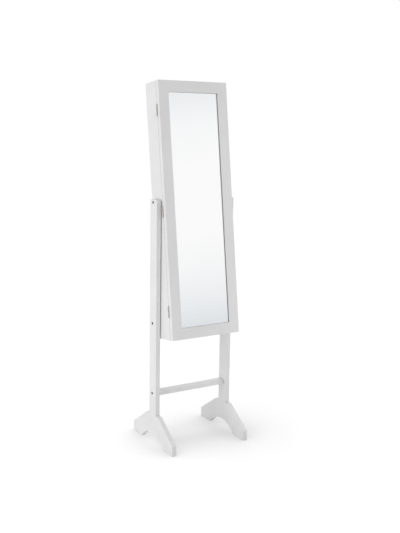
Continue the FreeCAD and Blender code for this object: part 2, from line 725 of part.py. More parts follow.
def catch_housing(level):
    half = CATCH_LENGTH / 2
    front = RIM_Y + CATCH_SETBACK
    body = box(
        INNER_X - CATCH_WIDTH, INNER_X, front, front + CATCH_DEPTH, level - half, level + half)
    return body.cut(magnet(level))


def strike_plate(level):
    x = INNER_X - CATCH_WIDTH / 2
    half = STRIKE_LENGTH / 2
    return box(
        x - STRIKE_WIDTH / 2, x + STRIKE_WIDTH / 2, DOOR_BACK_Y, strike_front_y(),
        level - half, level + half)


def door_buffers():
    x = HALF_WIDTH - PANEL / 2
    buffers = []
    for level in (TOP_Z - BUFFER_INSET, BOTTOM_Z + BUFFER_INSET):
        buffers.append(Part.makeCylinder(BUFFER_RADIUS, BUFFER, Vector(x, RIM_Y, level), BACK * -1))
    return buffers


def box_pieces():
    side = side_panel()
    pieces = {
        "right_side_panel": side,
        "left_side_panel": left_side_panel(side),
        "top_panel": end_panel(CEILING_Z),
        "bottom_panel": end_panel(BOTTOM_Z),
        "back_panel": back_panel_blank(),
        "carcass_dowels": group(carcass_dowels()),
        "back_lining": back_lining(),
        "rear_pads": group(rear_pads()),
        "pivot_bolts": group(both_sides(right_pivot_bolt())),
        "pivot_inserts": group(both_sides(right_pivot_insert())),
        "pivot_washers": group(both_sides(right_pivot_washer())),
        "catch_housings": group([catch_housing(level) for level in catch_levels()]),
        "catch_magnets": group([magnet(level) for level in catch_levels()]),
        "door_buffers": group(door_buffers()),
        "necklace_hook_strip": necklace_hook_strip(),
        "ring_cushion": ring_cushion(),
        "earring_bars": group(earring_bars()),
        "bracelet_rod": bracelet_rod(),
        "guard_rails": group(guard_rails()),
    }
    for name, level in SHELF_LEVELS.items():
        pieces[name + "_shelf"] = shelf(level)
    for name, level in HINGE_LEVELS.items():
        pieces[name + "_hinge_cabinet_leaf"] = cabinet_leaf(level)
        pieces[name + "_hinge_pin"] = hinge_pin(level)
    return pieces


# ---- Mirror door ---------------------------------------------------------------------------------
def frame_profile(corner, inward):
    """Section of the door frame: rounded front edge, beveled lip and rebate for the mirror."""
    def at(across, deep):
        return corner + inward * across + BACK * deep

    rounding = FRONT_ROUNDING
    middle = rounding * (1 - math.sqrt(0.5))
    lip = FRAME_WIDTH
    points = [
        at(rounding, 0),
        at(lip - LIP_BEVEL, 0),
        at(lip, LIP_BEVEL),
        at(lip, FRAME_LIP),
        at(REBATE_INSET, FRAME_LIP),
        at(REBATE_INSET, DOOR_THICKNESS),
        at(0, DOOR_THICKNESS),
        at(0, rounding),
    ]
    round_edge = Part.Arc(points[-1], at(middle, middle), points[0]).toShape()
    return Part.Face(Part.Wire(Part.makePolygon(points).Edges + [round_edge]))


def mitred(shape, corner, inward, along, length, width, depth):
    """Keep what lies between the two 45 degree cuts of a frame piece."""
    wedge = outline_face([
        corner,
        corner + along * length,
        corner + along * (length - width) + inward * width,
        corner + along * width + inward * width,
    ])
    return shape.common(wedge.extrude(BACK * depth))


def frame_member(corner, inward, along, length):
    blank = frame_profile(corner, inward).extrude(along * length)
    return mitred(blank, corner, inward, along, length, FRAME_WIDTH, DOOR_THICKNESS)


def frame_sides(inset, y):
    """Start corner, inward and running directions, and length of the four sides of the frame."""
    left = -HALF_WIDTH + inset
    right = HALF_WIDTH - inset
    low = BOTTOM_Z + inset
    high = TOP_Z - inset
    return {
        "left_stile": (Vector(left, y, low), RIGHT, UP, high - low),
        "right_stile": (Vector(right, y, low), RIGHT * -1, UP, high - low),
        "bottom_rail": (Vector(left, y, low), UP, RIGHT, right - left),
        "top_rail": (Vector(left, y, high), UP * -1, RIGHT, right - left),
    }


def corner_dowels():
    """One dowel square across each mitre."""
    dowels = []
    inset = REBATE_INSET / 2
    y = DOOR_FRONT_Y + DOOR_THICKNESS / 2
    for x, z, lean in (
            (-HALF_WIDTH + inset, BOTTOM_Z + inset, -1),
            (HALF_WIDTH - inset, BOTTOM_Z + inset, 1),
            (-HALF_WIDTH + inset, TOP_Z - inset, 1),
            (HALF_WIDTH - inset, TOP_Z - inset, -1)):
        across = Vector(1, 0, lean).normalize()
        start = Vector(x, y, z) - across * (DOWEL / 2)
        dowels.append(Part.makeCylinder(DOWEL_RADIUS, DOWEL, start, across))
    return dowels


def door_pane(thickness, y):
    """Sheet that fills the rebate of the frame, less its clearance."""
    inset = REBATE_INSET + GLASS_CLEARANCE
    x = HALF_WIDTH - inset
    return box(-x, x, y, y + thickness, BOTTOM_Z + inset, TOP_Z - inset)


def glazing_beads():
    """Four mitred strips that hold the mirror and its backing in the rebate."""
    depth = DOOR_BACK_Y - BEAD_Y
    beads = []
    for corner, inward, along, length in frame_sides(REBATE_INSET, BEAD_Y).values():
        section = outline_face([
            corner,
            corner + inward * BEAD_WIDTH,
            corner + inward * BEAD_WIDTH + BACK * depth,
            corner + BACK * depth,
        ])
        blank = section.extrude(along * length)
        start = corner + along * BEAD_END_GAP
        beads.append(mitred(blank, start, inward, along, length - 2 * BEAD_END_GAP, BEAD_WIDTH, depth))
    return beads


def door_pieces():
    frame = {}
    for name, (corner, inward, along, length) in frame_sides(0, DOOR_FRONT_Y).items():
        frame[name] = frame_member(corner, inward, along, length).cut(corner_dowels())
    leaf_beds = [leaf_plate(level, door_leaf_y()) for level in HINGE_LEVELS.values()]
    frame["left_stile"] = frame["left_stile"].cut(leaf_beds)
    pieces = {
        "corner_dowels": group(corner_dowels()),
        "mirror_glass": door_pane(GLASS, GLASS_Y),
        "mirror_backing": door_pane(BACKING, GLASS_Y + GLASS),
        "glazing_beads": group(glazing_beads()),
        "strike_plates": group([strike_plate(level) for level in catch_levels()]),
    }
    for name, level in HINGE_LEVELS.items():
        pieces[name + "_hinge_door_leaf"] = door_leaf(level)
    return {**frame, **pieces}


def main():
    os.makedirs("parts", exist_ok=True)
    for name, shape in stand_pieces().items():
        shape.exportStep("parts/" + name + ".step")
    for name, shape in {**box_pieces(), **door_pieces()}.items():
        leaned(shape).exportStep("parts/" + name + ".step")
    print("rest tilt", round(rest_tilt(), 4), "degrees")


main()
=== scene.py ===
"""Looks of the jewelry mirror cabinet: finishes, small fasteners, cushion, mirror and studio.

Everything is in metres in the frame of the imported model: x to the right and y to the back for
someone facing the mirror, z up from the floor. Pieces inside the leaned box are drawn in the
cabinet frame, which is upright and has its origin on the tilt axis.
"""
import json
import math

import bmesh
import bpy
from mathutils import Matrix, Vector, noise

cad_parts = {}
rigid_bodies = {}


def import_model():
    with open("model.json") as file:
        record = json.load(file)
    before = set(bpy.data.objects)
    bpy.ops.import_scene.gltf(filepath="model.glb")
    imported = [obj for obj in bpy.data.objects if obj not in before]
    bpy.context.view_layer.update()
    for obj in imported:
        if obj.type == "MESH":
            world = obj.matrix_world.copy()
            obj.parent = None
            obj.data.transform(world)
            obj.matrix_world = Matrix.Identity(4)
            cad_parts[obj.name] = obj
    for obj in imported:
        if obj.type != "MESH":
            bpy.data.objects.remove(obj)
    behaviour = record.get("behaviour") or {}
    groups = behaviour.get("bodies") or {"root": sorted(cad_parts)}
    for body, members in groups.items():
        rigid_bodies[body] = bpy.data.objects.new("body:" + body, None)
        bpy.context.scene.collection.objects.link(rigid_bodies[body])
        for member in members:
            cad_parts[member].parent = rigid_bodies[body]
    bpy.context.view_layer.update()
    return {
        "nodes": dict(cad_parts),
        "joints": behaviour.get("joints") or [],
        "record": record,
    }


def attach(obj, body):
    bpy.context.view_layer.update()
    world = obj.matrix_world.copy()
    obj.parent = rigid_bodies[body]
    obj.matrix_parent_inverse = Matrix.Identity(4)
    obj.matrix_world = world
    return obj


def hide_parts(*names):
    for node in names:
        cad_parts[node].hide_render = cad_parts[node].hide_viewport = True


MM = 0.001

# ---- Camera, solved from the edges of the object in the photograph --------------------------
CAMERA_PLACE = Vector((-1.71029, -2.84672, 1.33321))
CAMERA_YAW = math.radians(31.592)      # turned to the right from +y
CAMERA_PITCH = math.radians(9.98)      # looks down
CAMERA_ROLL = math.radians(-0.891)
CAMERA_LENS = 53.876                   # mm, on a 36 mm frame height
FRAME_HEIGHT = 36.0

# ---- Light ----------------------------------------------------------------------------------
SKY_LEVEL = 0.62                       # even light of the studio on the object, level with it
SKY_GROWTH = Vector((-0.08, 0.13, 0.17))   # how it grows to the right, to the back and upward
KEY_PLACE = Vector((-2.6, -0.6, 1.15))     # wide, tall soft box on the left
KEY_TARGET = Vector((0.0, 0.0, 0.75))
KEY_WIDTH = 1.8
KEY_HEIGHT = 2.2
KEY_POWER = 22.0
KEY_COLOR = (0.95, 0.985, 1.0)         # a touch cool
FILL_PLACE = Vector((0.85, -0.65, 0.85))   # narrow, tall soft box close by on the right
FILL_TARGET = Vector((0.1, 0.0, 0.85))
FILL_WIDTH = 0.7
FILL_HEIGHT = 1.8
FILL_POWER = 3.3
FLOOR_RADIUS = 7.0
FLOOR_SIDES = 96
FLOOR_GLOW = 0.655                     # what the floor adds to its own shade for the eye
# Near the object the floor's glow is dimmed by ambient occlusion: a painted shadow.
FLOOR_GLOW_NEAR = 0.42                 # the same close to the object
FLOOR_REACH = 0.50                     # how far from the object the floor begins to dim
FLOOR_NEAR_OPENNESS = 0.55             # share of open sky where it is as dim as it gets
FLOOR_SAMPLES = 16                     # of that share
FLOOR_SHADE = 0.22                     # its diffuse colour for the eye
FLOOR_BOUNCE = 0.40                    # its diffuse colour for the light that it throws back
CEILING_TILT = (math.radians(-3), math.radians(-17))   # ceiling light, on the floor alone
CEILING_SPREAD = math.radians(50)
CEILING_STRENGTH = 3.2
CLEAR_OF_CEILING = ("left_foot", "right_foot")         # nodes without a shadow in that light

# What the mirror sees of the white cove: height, brightness, blueness. Heights 0 and 1 are where
# the z of the direction looked in is COVE_FOOT and COVE_TOP.
COVE_FOOT = -0.2
COVE_TOP = 0.8
COVE = (
    (0.15, 0.78, 0.09), (0.18, 0.81, 0.08), (0.20, 0.875, 0.06), (0.22, 0.92, 0.04),
    (0.25, 0.965, 0.015), (0.30, 1.0, 0.0), (0.38, 1.0, 0.0), (0.43, 0.98, 0.015),
    (0.465, 0.91, 0.035), (0.60, 0.86, 0.03), (1.0, 0.95, 0.01),
)

# ---- Painted shade in each crevice between the painted boards -------------------------------
# Ambient occlusion within this reach darkens the board colour toward CREVICE_SHADE: painted
# shade.
CREVICE_REACH = 5.0 * MM
CREVICE_SHADE = (0.52, 0.50, 0.47)
CREVICE_SHUT = 0.25                    # openness below which the shade is full
CREVICE_OPEN = 0.85                    # openness above which there is none
CREVICE_SAMPLES = 8

# ---- Small pieces ---------------------------------------------------------------------------
WELD = 0.002 * MM                      # vertices this close are one
SCREW_SIDES = 32
SCREW_HEAD = 2.55 * MM                 # radius
SCREW_FACE = 0.985 * SCREW_HEAD        # radius of its flat face
SCREW_RIM = 0.12 * MM                  # height of its rim
SCREW_SHANK = 1.3 * MM                 # radius
SCREW_LENGTH = 12.0 * MM
RECESS_REACH = 0.58 * SCREW_HEAD       # the cross recess: arm, half its width, depth
RECESS_HALF_WIDTH = 0.13 * SCREW_HEAD
RECESS_DEPTH = 0.45 * SCREW_HEAD
RECESS_TAPER = (0.45, 0.7)             # its bed by its mouth
SCREW_SINK = 0.1 * MM                  # head below the rim of its countersink
HINGE_HOLE_SPACING = 14.5 * MM
HINGE_SPIN = 0.7                       # radians that a cross is turned from the one before
DOOR_LEAF_SPIN = 0.4                   # the same, from one leaf to the other
BARREL_STANDOFF = 1.0 * MM             # a leaf's plate lies further in than this
BACK_SCREWS = 5                        # on each side
BACK_SCREW_INSET = 40.0 * MM
BACK_SPIN = 0.9
STRIKE_SCREW_SPACING = 26.0 * MM
STRIKE_SPIN = 0.5
CATCH_SCREW_INSET = 4.5 * MM           # from the ends of a catch housing
CATCH_SCREW_RISE = 0.3 * MM            # its flat head above the plastic
CATCH_SPIN = 0.3
GLASS_SEAM = 0.5 * MM                  # ground edge of the mirror
COATING_GAP = 0.05 * MM                # silvering in front of the backing board

# ---- Ring cushion ---------------------------------------------------------------------------
CUSHION_ROLLS = 6
CUSHION_COLUMNS = 160
ROLL_ROWS = 14
ROLL_FULLNESS = 0.8                    # 1 is a sine; less is flatter on top
ROLL_END = 7.0 * MM                    # length of a roll's domed end
CUSHION_BASE = 6.0 * MM
CUSHION_AIR = 0.1 * MM                 # in front of the highest crown
CUSHION_RIM = 0.5 * MM                 # least thickness
VALLEY_SHARE = 0.55                    # of the base that is left in a valley
END_SHARE = 0.25                       # of the crown that is left at a roll's end
PUCKER = 0.35 * MM
PUCKERS = 160.0                        # scale of the noise, as for the ripples
PUCKER_LAYER = 3.0                     # where the noise is cut, as for the ripples
PUCKER_FADE = 0.6                      # share of a pucker that a crown pulls flat
RIPPLE = 0.4 * MM
RIPPLES = 45.0
RIPPLE_LAYER = 9.0
ROLL_LAYER_STEP = 7.0                  # from one roll's ripples to the next

# ---- Softened edges: width by node in millimetres; every other node gets EDGE -----------------
EDGE_SEGMENTS = 3
EDGE_FROM = math.radians(35)           # least angle of an edge that is softened
EDGE_NORMAL_WEIGHT = 80                # how much the large faces keep their shade flat
EDGE = 0.35
EDGES = {
    "left_foot": 1.3, "right_foot": 1.3,
    "left_post": 1.3, "right_post": 1.3,
    "upper_crossbar": 0.5, "lower_crossbar": 0.5,
    "left_side_panel": 0.9, "right_side_panel": 0.9,
    "top_panel": 0.3, "bottom_panel": 0.3,
    "left_stile": 0.25, "right_stile": 0.25, "top_rail": 0.25, "bottom_rail": 0.25,
    "guard_rails": 0.8, "earring_bars": 0.3, "catch_housings": 0.8,
    "upper_shelf": 0.8, "middle_shelf": 0.8, "lower_shelf": 0.8,
}


# ---- Node material helpers ------------------------------------------------------------------
def set_stops(node, stops):
    """Give a colour ramp, which begins with two stops, its stops of (position, (r, g, b))."""
    elements = node.color_ramp.elements
    for index, (position, color) in enumerate(stops):
        element = elements[index] if index < 2 else elements.new(position)
        element.position = position
        element.color = (*color, 1.0)


class Paint:
    """A material under construction: short calls for the nodes that every finish here uses."""

    def __init__(self, name):
        self.material = bpy.data.materials.new(name)
        self.material.use_nodes = True
        self.nodes = self.material.node_tree.nodes
        self.links = self.material.node_tree.links
        self.bsdf = self.nodes["Principled BSDF"]
        self.place = self.nodes.new("ShaderNodeTexCoord").outputs["Object"]

    def plain(self, **values):
        """Uniform values, set straight on the shader's sockets."""
        for name, value in values.items():
            self.bsdf.inputs[name.replace("_", " ")].default_value = value
        return self

    def stretched(self, x, y, z):
        mapping = self.nodes.new("ShaderNodeMapping")
        mapping.inputs["Scale"].default_value = (x, y, z)
        self.links.new(self.place, mapping.inputs["Vector"])
        return mapping.outputs["Vector"]

    def noise(self, scale, detail=3.0, roughness=0.5, vector=None, distortion=0.0):
        texture = self.nodes.new("ShaderNodeTexNoise")
        texture.inputs["Scale"].default_value = scale
        texture.inputs["Detail"].default_value = detail
        texture.inputs["Roughness"].default_value = roughness
        texture.inputs["Distortion"].default_value = distortion
        self.links.new(vector or self.place, texture.inputs["Vector"])
        return texture.outputs["Fac"]

    def ramp(self, factor, *stops):
        """Colour ramp; each stop is (position, (r, g, b))."""
        ramp = self.nodes.new("ShaderNodeValToRGB")
        set_stops(ramp, stops)
        self.links.new(factor, ramp.inputs["Fac"])
        return ramp.outputs["Color"]

    def span(self, factor, low, high, start=0.3, end=0.7):
        """Map a noise factor to a range of values."""
        fit = self.nodes.new("ShaderNodeMapRange")
        fit.inputs["From Min"].default_value = start
        fit.inputs["From Max"].default_value = end
        fit.inputs["To Min"].default_value = low
        fit.inputs["To Max"].default_value = high
        self.links.new(factor, fit.inputs["Value"])
        return fit.outputs["Result"]

    def mixed(self, first, second, factor, mode="MIX"):
        """Mix of two colours; a Mix node takes them on inputs 6 and 7 and gives output 2."""
        mix = self.nodes.new("ShaderNodeMix")
        mix.data_type = "RGBA"
        mix.blend_type = mode
        if isinstance(factor, float):
            mix.inputs[0].default_value = factor
        else:
            self.links.new(factor, mix.inputs[0])
        self.links.new(first, mix.inputs[6])
        self.links.new(second, mix.inputs[7])
        return mix.outputs[2]

    def painted_crevice_shade(self, reach, dark):
        """Painted shade: colour darkened by ambient occlusion where surfaces meet, at board
        joints, corners and screw holes.
        """
        corner = self.nodes.new("ShaderNodeAmbientOcclusion")
        corner.samples = CREVICE_SAMPLES
        corner.inputs["Distance"].default_value = reach
        stops = ((CREVICE_SHUT, dark), (CREVICE_OPEN, (1.0, 1.0, 1.0)))
        return self.ramp(corner.outputs["AO"], *stops)

    def color(self, output):
        self.links.new(output, self.bsdf.inputs["Base Color"])
        return self

    def roughness(self, output):
        self.links.new(output, self.bsdf.inputs["Roughness"])
        return self

    def bump(self, height, strength, distance):
        bump = self.nodes.new("ShaderNodeBump")
        bump.inputs["Strength"].default_value = strength
        bump.inputs["Distance"].default_value = distance
        self.links.new(height, bump.inputs["Height"])
        self.links.new(bump.outputs["Normal"], self.bsdf.inputs["Normal"])
        return self


# ---- Finishes -------------------------------------------------------------------------------
def painted_board():
    """White satin lacquer: faint clouding, orange peel, dulled patches, and painted shade where
    boards meet.
    """
    paint = Paint("painted_board")
    cloud = paint.ramp(
        paint.noise(5.0, 4.0), (0.3, (0.790, 0.780, 0.785)), (0.7, (0.835, 0.825, 0.830)))
    speck = paint.ramp(
        paint.noise(900.0, 2.0), (0.35, (0.965, 0.965, 0.965)), (0.6, (1.0, 1.0, 1.0)))
    coat = paint.mixed(cloud, speck, 1.0, "MULTIPLY")
    # Painted shade: ambient occlusion darkens the colour at joints, corners and holes.
    painted_seam_shade = paint.painted_crevice_shade(CREVICE_REACH, CREVICE_SHADE)
    paint.color(paint.mixed(coat, painted_seam_shade, 1.0, "MULTIPLY"))
    paint.roughness(paint.span(paint.noise(35.0, 3.0), 0.30, 0.44))
    paint.plain(Specular_IOR_Level=0.42)
    return paint.bump(paint.noise(650.0, 2.0), 0.12, 0.00004).material


def velvet():
    """Short dark pile: faint brush marks, single fibres and a soft sheen at the edges."""
    paint = Paint("velvet")
    strokes = paint.noise(30.0, 4.0, 0.5, paint.stretched(1.0, 1.0, 0.35))
    nap = paint.ramp(strokes, (0.3, (0.030, 0.029, 0.034)), (0.7, (0.041, 0.039, 0.046)))
    fibre = paint.ramp(
        paint.noise(2600.0, 2.0), (0.3, (0.60, 0.60, 0.60)), (0.7, (1.0, 1.0, 1.0)))
    paint.color(paint.mixed(nap, fibre, 1.0, "MULTIPLY"))
    paint.plain(
        Roughness=0.92, Sheen_Weight=0.85, Sheen_Roughness=0.35,
        Sheen_Tint=(0.62, 0.60, 0.68, 1.0), Specular_IOR_Level=0.15)
    return paint.bump(paint.noise(1800.0, 3.0), 0.6, 0.0003).material


def silver():
    """Silvering seen through the glass, warm enough to cancel the green of the sheet."""
    paint = Paint("mirror_silver")
    cast = paint.ramp(
        paint.noise(3.0, 2.0), (0.3, (0.962, 0.953, 0.955)), (0.7, (0.968, 0.960, 0.961)))
    paint.color(cast)
    return paint.plain(Metallic=1.0, Roughness=0.0).material


def glass():
    """Clear float glass with a hint of green in its thickness."""
    paint = Paint("mirror_glass_sheet")
    tint = paint.ramp(
        paint.noise(2.0, 1.0), (0.3, (0.985, 0.995, 0.992)), (0.7, (0.99, 1.0, 0.996)))
    paint.color(tint)
    return paint.plain(Roughness=0.0, IOR=1.52, Transmission_Weight=1.0).material


def brushed_metal(name, dark, light, rough, grain=(1.0, 1.0, 0.04)):
    """Metal with fine drawn lines along z, and cloudy roughness."""
    paint = Paint(name)
    lines = paint.noise(2400.0, 3.0, vector=paint.stretched(*grain))
    paint.color(paint.ramp(lines, (0.3, dark), (0.7, light)))
    cloud = paint.noise(140.0, 3.0)
    paint.roughness(paint.span(cloud, rough - 0.07, rough + 0.08))
    paint.plain(Metallic=1.0)
    return paint.bump(lines, 0.15, 0.00002).material


def hinge_steel():
    return brushed_metal("hinge_steel", (0.56, 0.52, 0.47), (0.72, 0.68, 0.62), 0.30)


def fastener_steel():
    return brushed_metal("fastener_steel", (0.030, 0.018, 0.012), (0.060, 0.038, 0.026), 0.42)


def zinc_steel():
    """Plated steel, drawn along x as the bracelet rod is."""
    grain = (0.04, 1.0, 1.0)
    return brushed_metal("zinc_steel", (0.58, 0.59, 0.58), (0.66, 0.67, 0.655), 0.27, grain)


def beech():
    """Dowel wood: pale grain along the piece with short darker flecks."""
    paint = Paint("beech")
    grain = paint.noise(420.0, 5.0, 0.6, paint.stretched(0.15, 1.0, 1.0))
    paint.color(paint.ramp(grain, (0.3, (0.46, 0.30, 0.17)), (0.7, (0.66, 0.48, 0.31))))
    paint.plain(Roughness=0.6)
    return paint.bump(grain, 0.3, 0.0001).material


def fibreboard():
    """Thin white-faced board: a flatter, slightly warmer white with a pressed texture."""
    paint = Paint("fibreboard")
    cloud = paint.ramp(
        paint.noise(9.0, 4.0), (0.3, (0.735, 0.725, 0.705)), (0.7, (0.785, 0.775, 0.755)))
    fleck = paint.ramp(
        paint.noise(480.0, 4.0), (0.32, (0.90, 0.89, 0.88)), (0.55, (1.0, 1.0, 1.0)))
    paint.color(paint.mixed(cloud, fleck, 1.0, "MULTIPLY"))
    paint.roughness(paint.span(paint.noise(60.0), 0.5, 0.65))
    return paint.bump(paint.noise(520.0, 3.0), 0.2, 0.00006).material


def white_plastic():
    """Moulded nylon: a milky white with a fine spark-eroded grain."""
    paint = Paint("white_plastic")
    milk = paint.ramp(
        paint.noise(30.0, 3.0), (0.3, (0.80, 0.80, 0.785)), (0.7, (0.86, 0.86, 0.85)))
    paint.color(milk)
    paint.roughness(paint.span(paint.noise(300.0), 0.28, 0.4))
    paint.plain(Subsurface_Weight=0.08, Subsurface_Scale=0.002)
    return paint.bump(paint.noise(2500.0, 2.0), 0.15, 0.00003).material


def felt():
    paint = Paint("felt")
    fibre = paint.noise(1500.0, 4.0, 0.7, distortion=1.5)
    paint.color(paint.ramp(fibre, (0.3, (0.09, 0.085, 0.08)), (0.7, (0.19, 0.18, 0.17))))
    paint.plain(Roughness=0.95, Sheen_Weight=0.4, Sheen_Roughness=0.5)
    return paint.bump(fibre, 0.7, 0.0004).material


def clear_rubber():
    paint = Paint("clear_rubber")
    haze = paint.ramp(
        paint.noise(200.0, 2.0), (0.3, (0.80, 0.80, 0.76)), (0.7, (0.88, 0.88, 0.85)))
    paint.color(haze)
    paint.roughness(paint.span(paint.noise(400.0), 0.18, 0.3))
    return paint.plain(Transmission_Weight=0.45, IOR=1.45).material


def ferrite():
    paint = Paint("ferrite")
    grain = paint.noise(900.0, 4.0)
    paint.color(paint.ramp(grain, (0.3, (0.018, 0.018, 0.020)), (0.7, (0.045, 0.044, 0.046))))
    paint.roughness(paint.span(grain, 0.5, 0.7))
    return paint.bump(grain, 0.4, 0.0001).material


FINISHES = {
    "painted_board": painted_board,
    "velvet": velvet,
    "mirror_silver": silver,
    "hinge_steel": hinge_steel,
    "fastener_steel": fastener_steel,
    "zinc_steel": zinc_steel,
    "beech": beech,
    "fibreboard": fibreboard,
    "white_plastic": white_plastic,
    "felt": felt,
    "clear_rubber": clear_rubber,
    "ferrite": ferrite,
}


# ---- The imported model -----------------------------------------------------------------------
def dress_nodes(frame, finishes):
    """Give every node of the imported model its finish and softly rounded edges."""
    for entry in frame["record"]["subparts"]:
        name = entry["node"]
        piece = frame["nodes"][name]
        for index in range(len(piece.material_slots)):
            piece.material_slots[index].material = finishes[entry["material_slot"]]
        soften_edges(piece, EDGES.get(name, EDGE) * MM)


def soften_edges(piece, width):
    """Weld the faces together, round the sharp edges and shade the flat faces flat."""
    for polygon in piece.data.polygons:
        polygon.use_smooth = True
    weld = piece.modifiers.new("weld", "WELD")
    weld.merge_threshold = WELD
    bevel = piece.modifiers.new("bevel", "BEVEL")
    bevel.width = width
    bevel.segments = EDGE_SEGMENTS
    bevel.limit_method = "ANGLE"
    bevel.angle_limit = EDGE_FROM
    bevel.use_clamp_overlap = True
    bevel.miter_outer = "MITER_ARC"
    normals = piece.modifiers.new("normals", "WEIGHTED_NORMAL")
    normals.weight = EDGE_NORMAL_WEIGHT
    normals.keep_sharp = False


def cabinet_frame(frame):
    """Matrix from the cabinet frame, upright on the tilt axis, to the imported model's frame."""
    joints = {joint["name"]: joint for joint in frame["joints"]}
    pivot = Vector(joints["cabinet_tilt"]["pos_m"])
    axis = joints["door_swing"]["axis"]
    lean = math.atan2(-axis[1], -axis[2])
    return Matrix.Translation(pivot) @ Matrix.Rotation(-lean, 4, "X")


def box_around(points):
    """Lowest and highest corner of the box around points."""
    low = Vector([min(point[axis] for point in points) for axis in range(3)])
    high = Vector([max(point[axis] for point in points) for axis in range(3)])
    return low, high


def upright_points(frame, node, place):
    """Vertices of a node in the cabinet frame."""
    back = place.inverted()
    return [back @ vertex.co for vertex in frame["nodes"][node].data.vertices]


def upright_box(frame, node, place):
    """Lowest and highest corner of a node in the cabinet frame."""
    return box_around(upright_points(frame, node, place))


def upright_solids(frame, node, place):
    """Boxes of the separate solids of a node in the cabinet frame."""
    back = place.inverted()
    mesh = bmesh.new()
    mesh.from_mesh(frame["nodes"][node].data)
    bmesh.ops.remove_doubles(mesh, verts=mesh.verts, dist=WELD)
    left = set(mesh.verts)
    boxes = []
    while left:
        island = []
        front = [left.pop()]
        while front:
            vertex = front.pop()
            island.append(back @ vertex.co)
            for edge in vertex.link_edges:
                other = edge.other_vert(vertex)
                if other in left:
                    left.remove(other)
                    front.append(other)
        boxes.append(box_around(island))
    mesh.free()
    return sorted(boxes, key=lambda box: (round(box[0].z, 5), round(box[0].x, 5)))


# ---- Pieces ---------------------------------------------------------------------------------
def new_piece(name, mesh, material, body, place=None):
    """Object from a bmesh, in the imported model's frame, riding on a body."""
    data = bpy.data.meshes.new(name)
    mesh.to_mesh(data)
    mesh.free()
    return place_piece(name, data, material, body, place)


def place_piece(name, data, material, body, place=None):
    """Object from mesh data, which several pieces may share, riding on a body."""
    piece = bpy.data.objects.new(name, data)
    bpy.context.scene.collection.objects.link(piece)
    if not data.materials:
        data.materials.append(material)
    if place is not None:
        piece.matrix_world = place
    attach(piece, body)
    return piece


def ring_vertices(mesh, radius, height, count):
    """Vertices on a circle around z."""
    step = 2 * math.pi / count
    return [
        mesh.verts.new((radius * math.cos(i * step), radius * math.sin(i * step), height))
        for i in range(count)
    ]


def bridge(mesh, lower, upper):
    """Four-sided faces between two closed rings of vertices."""
    count = len(lower)
    for i in range(count):
        j = (i + 1) % count
        mesh.faces.new((lower[i], lower[j], upper[j], upper[i]))


def loop_edges(mesh, loop):
    """Edges of a closed ring of vertices."""
    return [mesh.edges.get(pair) for pair in zip(loop, loop[1:] + loop[:1])]


def cross_screw_mesh():
    """Countersunk screw along -z with its head at z = 0 and a cross recess."""
    mesh = bmesh.new()
    neck_level = -(SCREW_HEAD - SCREW_SHANK) - SCREW_RIM
    rim = ring_vertices(mesh, SCREW_FACE, 0, SCREW_SIDES)
    edge = ring_vertices(mesh, SCREW_HEAD, -SCREW_RIM, SCREW_SIDES)
    neck = ring_vertices(mesh, SCREW_SHANK, neck_level, SCREW_SIDES)
    shank = ring_vertices(mesh, SCREW_SHANK, -SCREW_LENGTH + 2 * SCREW_SHANK, SCREW_SIDES)
    tip = mesh.verts.new((0, 0, -SCREW_LENGTH))
    bridge(mesh, edge, rim)
    bridge(mesh, neck, edge)
    bridge(mesh, shank, neck)
    for i in range(SCREW_SIDES):
        mesh.faces.new((tip, shank[(i + 1) % SCREW_SIDES], shank[i]))
    arm = RECESS_REACH
    half = RECESS_HALF_WIDTH
    plus = [
        (arm, half), (half, half), (half, arm), (-half, arm), (-half, half), (-arm, half),
        (-arm, -half), (-half, -half), (-half, -arm), (half, -arm), (half, -half), (arm, -half),
    ]
    lip = [mesh.verts.new((x, y, 0)) for x, y in plus]
    taper_x, taper_y = RECESS_TAPER
    bed = [mesh.verts.new((x * taper_x, y * taper_y, -RECESS_DEPTH)) for x, y in plus]
    bridge(mesh, lip, bed)
    mesh.faces.new(bed)
    bmesh.ops.triangle_fill(
        mesh, use_beauty=True, edges=loop_edges(mesh, rim) + loop_edges(mesh, lip))
    bmesh.ops.recalc_face_normals(mesh, faces=mesh.faces)
    data = bpy.data.meshes.new("cross_screw")
    mesh.to_mesh(data)
    mesh.free()
    return data


def along(direction, center, spin=0.0):
    """Matrix that turns +z to a direction and moves the origin to a centre."""
    turn = Vector(direction).to_track_quat("Z", "Y").to_matrix().to_4x4()
    return Matrix.Translation(center) @ turn @ Matrix.Rotation(spin, 4, "Z")


def hinge_screws(frame, place, data, finish):
    """Three screws in each leaf, seen from the face that lies open when the door swings."""
    panel_low, _ = upright_box(frame, "left_side_panel", place)
    inner, _ = upright_box(frame, "top_panel", place)
    x = (panel_low.x + inner.x) / 2
    for level in ("upper", "middle", "lower"):
        for body, outward in (("cabinet", -1), ("door", 1)):
            low, high = upright_box(frame, "%s_hinge_%s_leaf" % (level, body), place)
            face = leaf_face(frame, level, body, place, outward)
            for index in (-1, 0, 1):
                z = (low.z + high.z) / 2 + index * HINGE_HOLE_SPACING
                center = Vector((x, face - outward * SCREW_SINK, z))
                spin = HINGE_SPIN * index + (DOOR_LEAF_SPIN if body == "door" else 0.0)
                name = "%s_hinge_%s_screw_%d" % (level, body, index + 2)
                spot = place @ along((0, outward, 0), center, spin)
                place_piece(name, data, finish, body, spot)


def leaf_face(frame, level, body, place, outward):
    """Depth of the open face of a hinge leaf's plate, which is apart from its barrel."""
    panel_low, _ = upright_box(frame, "left_side_panel", place)
    points = upright_points(frame, "%s_hinge_%s_leaf" % (level, body), place)
    plate = [point.y for point in points if point.x > panel_low.x + BARREL_STANDOFF]
    return max(plate) if outward > 0 else min(plate)


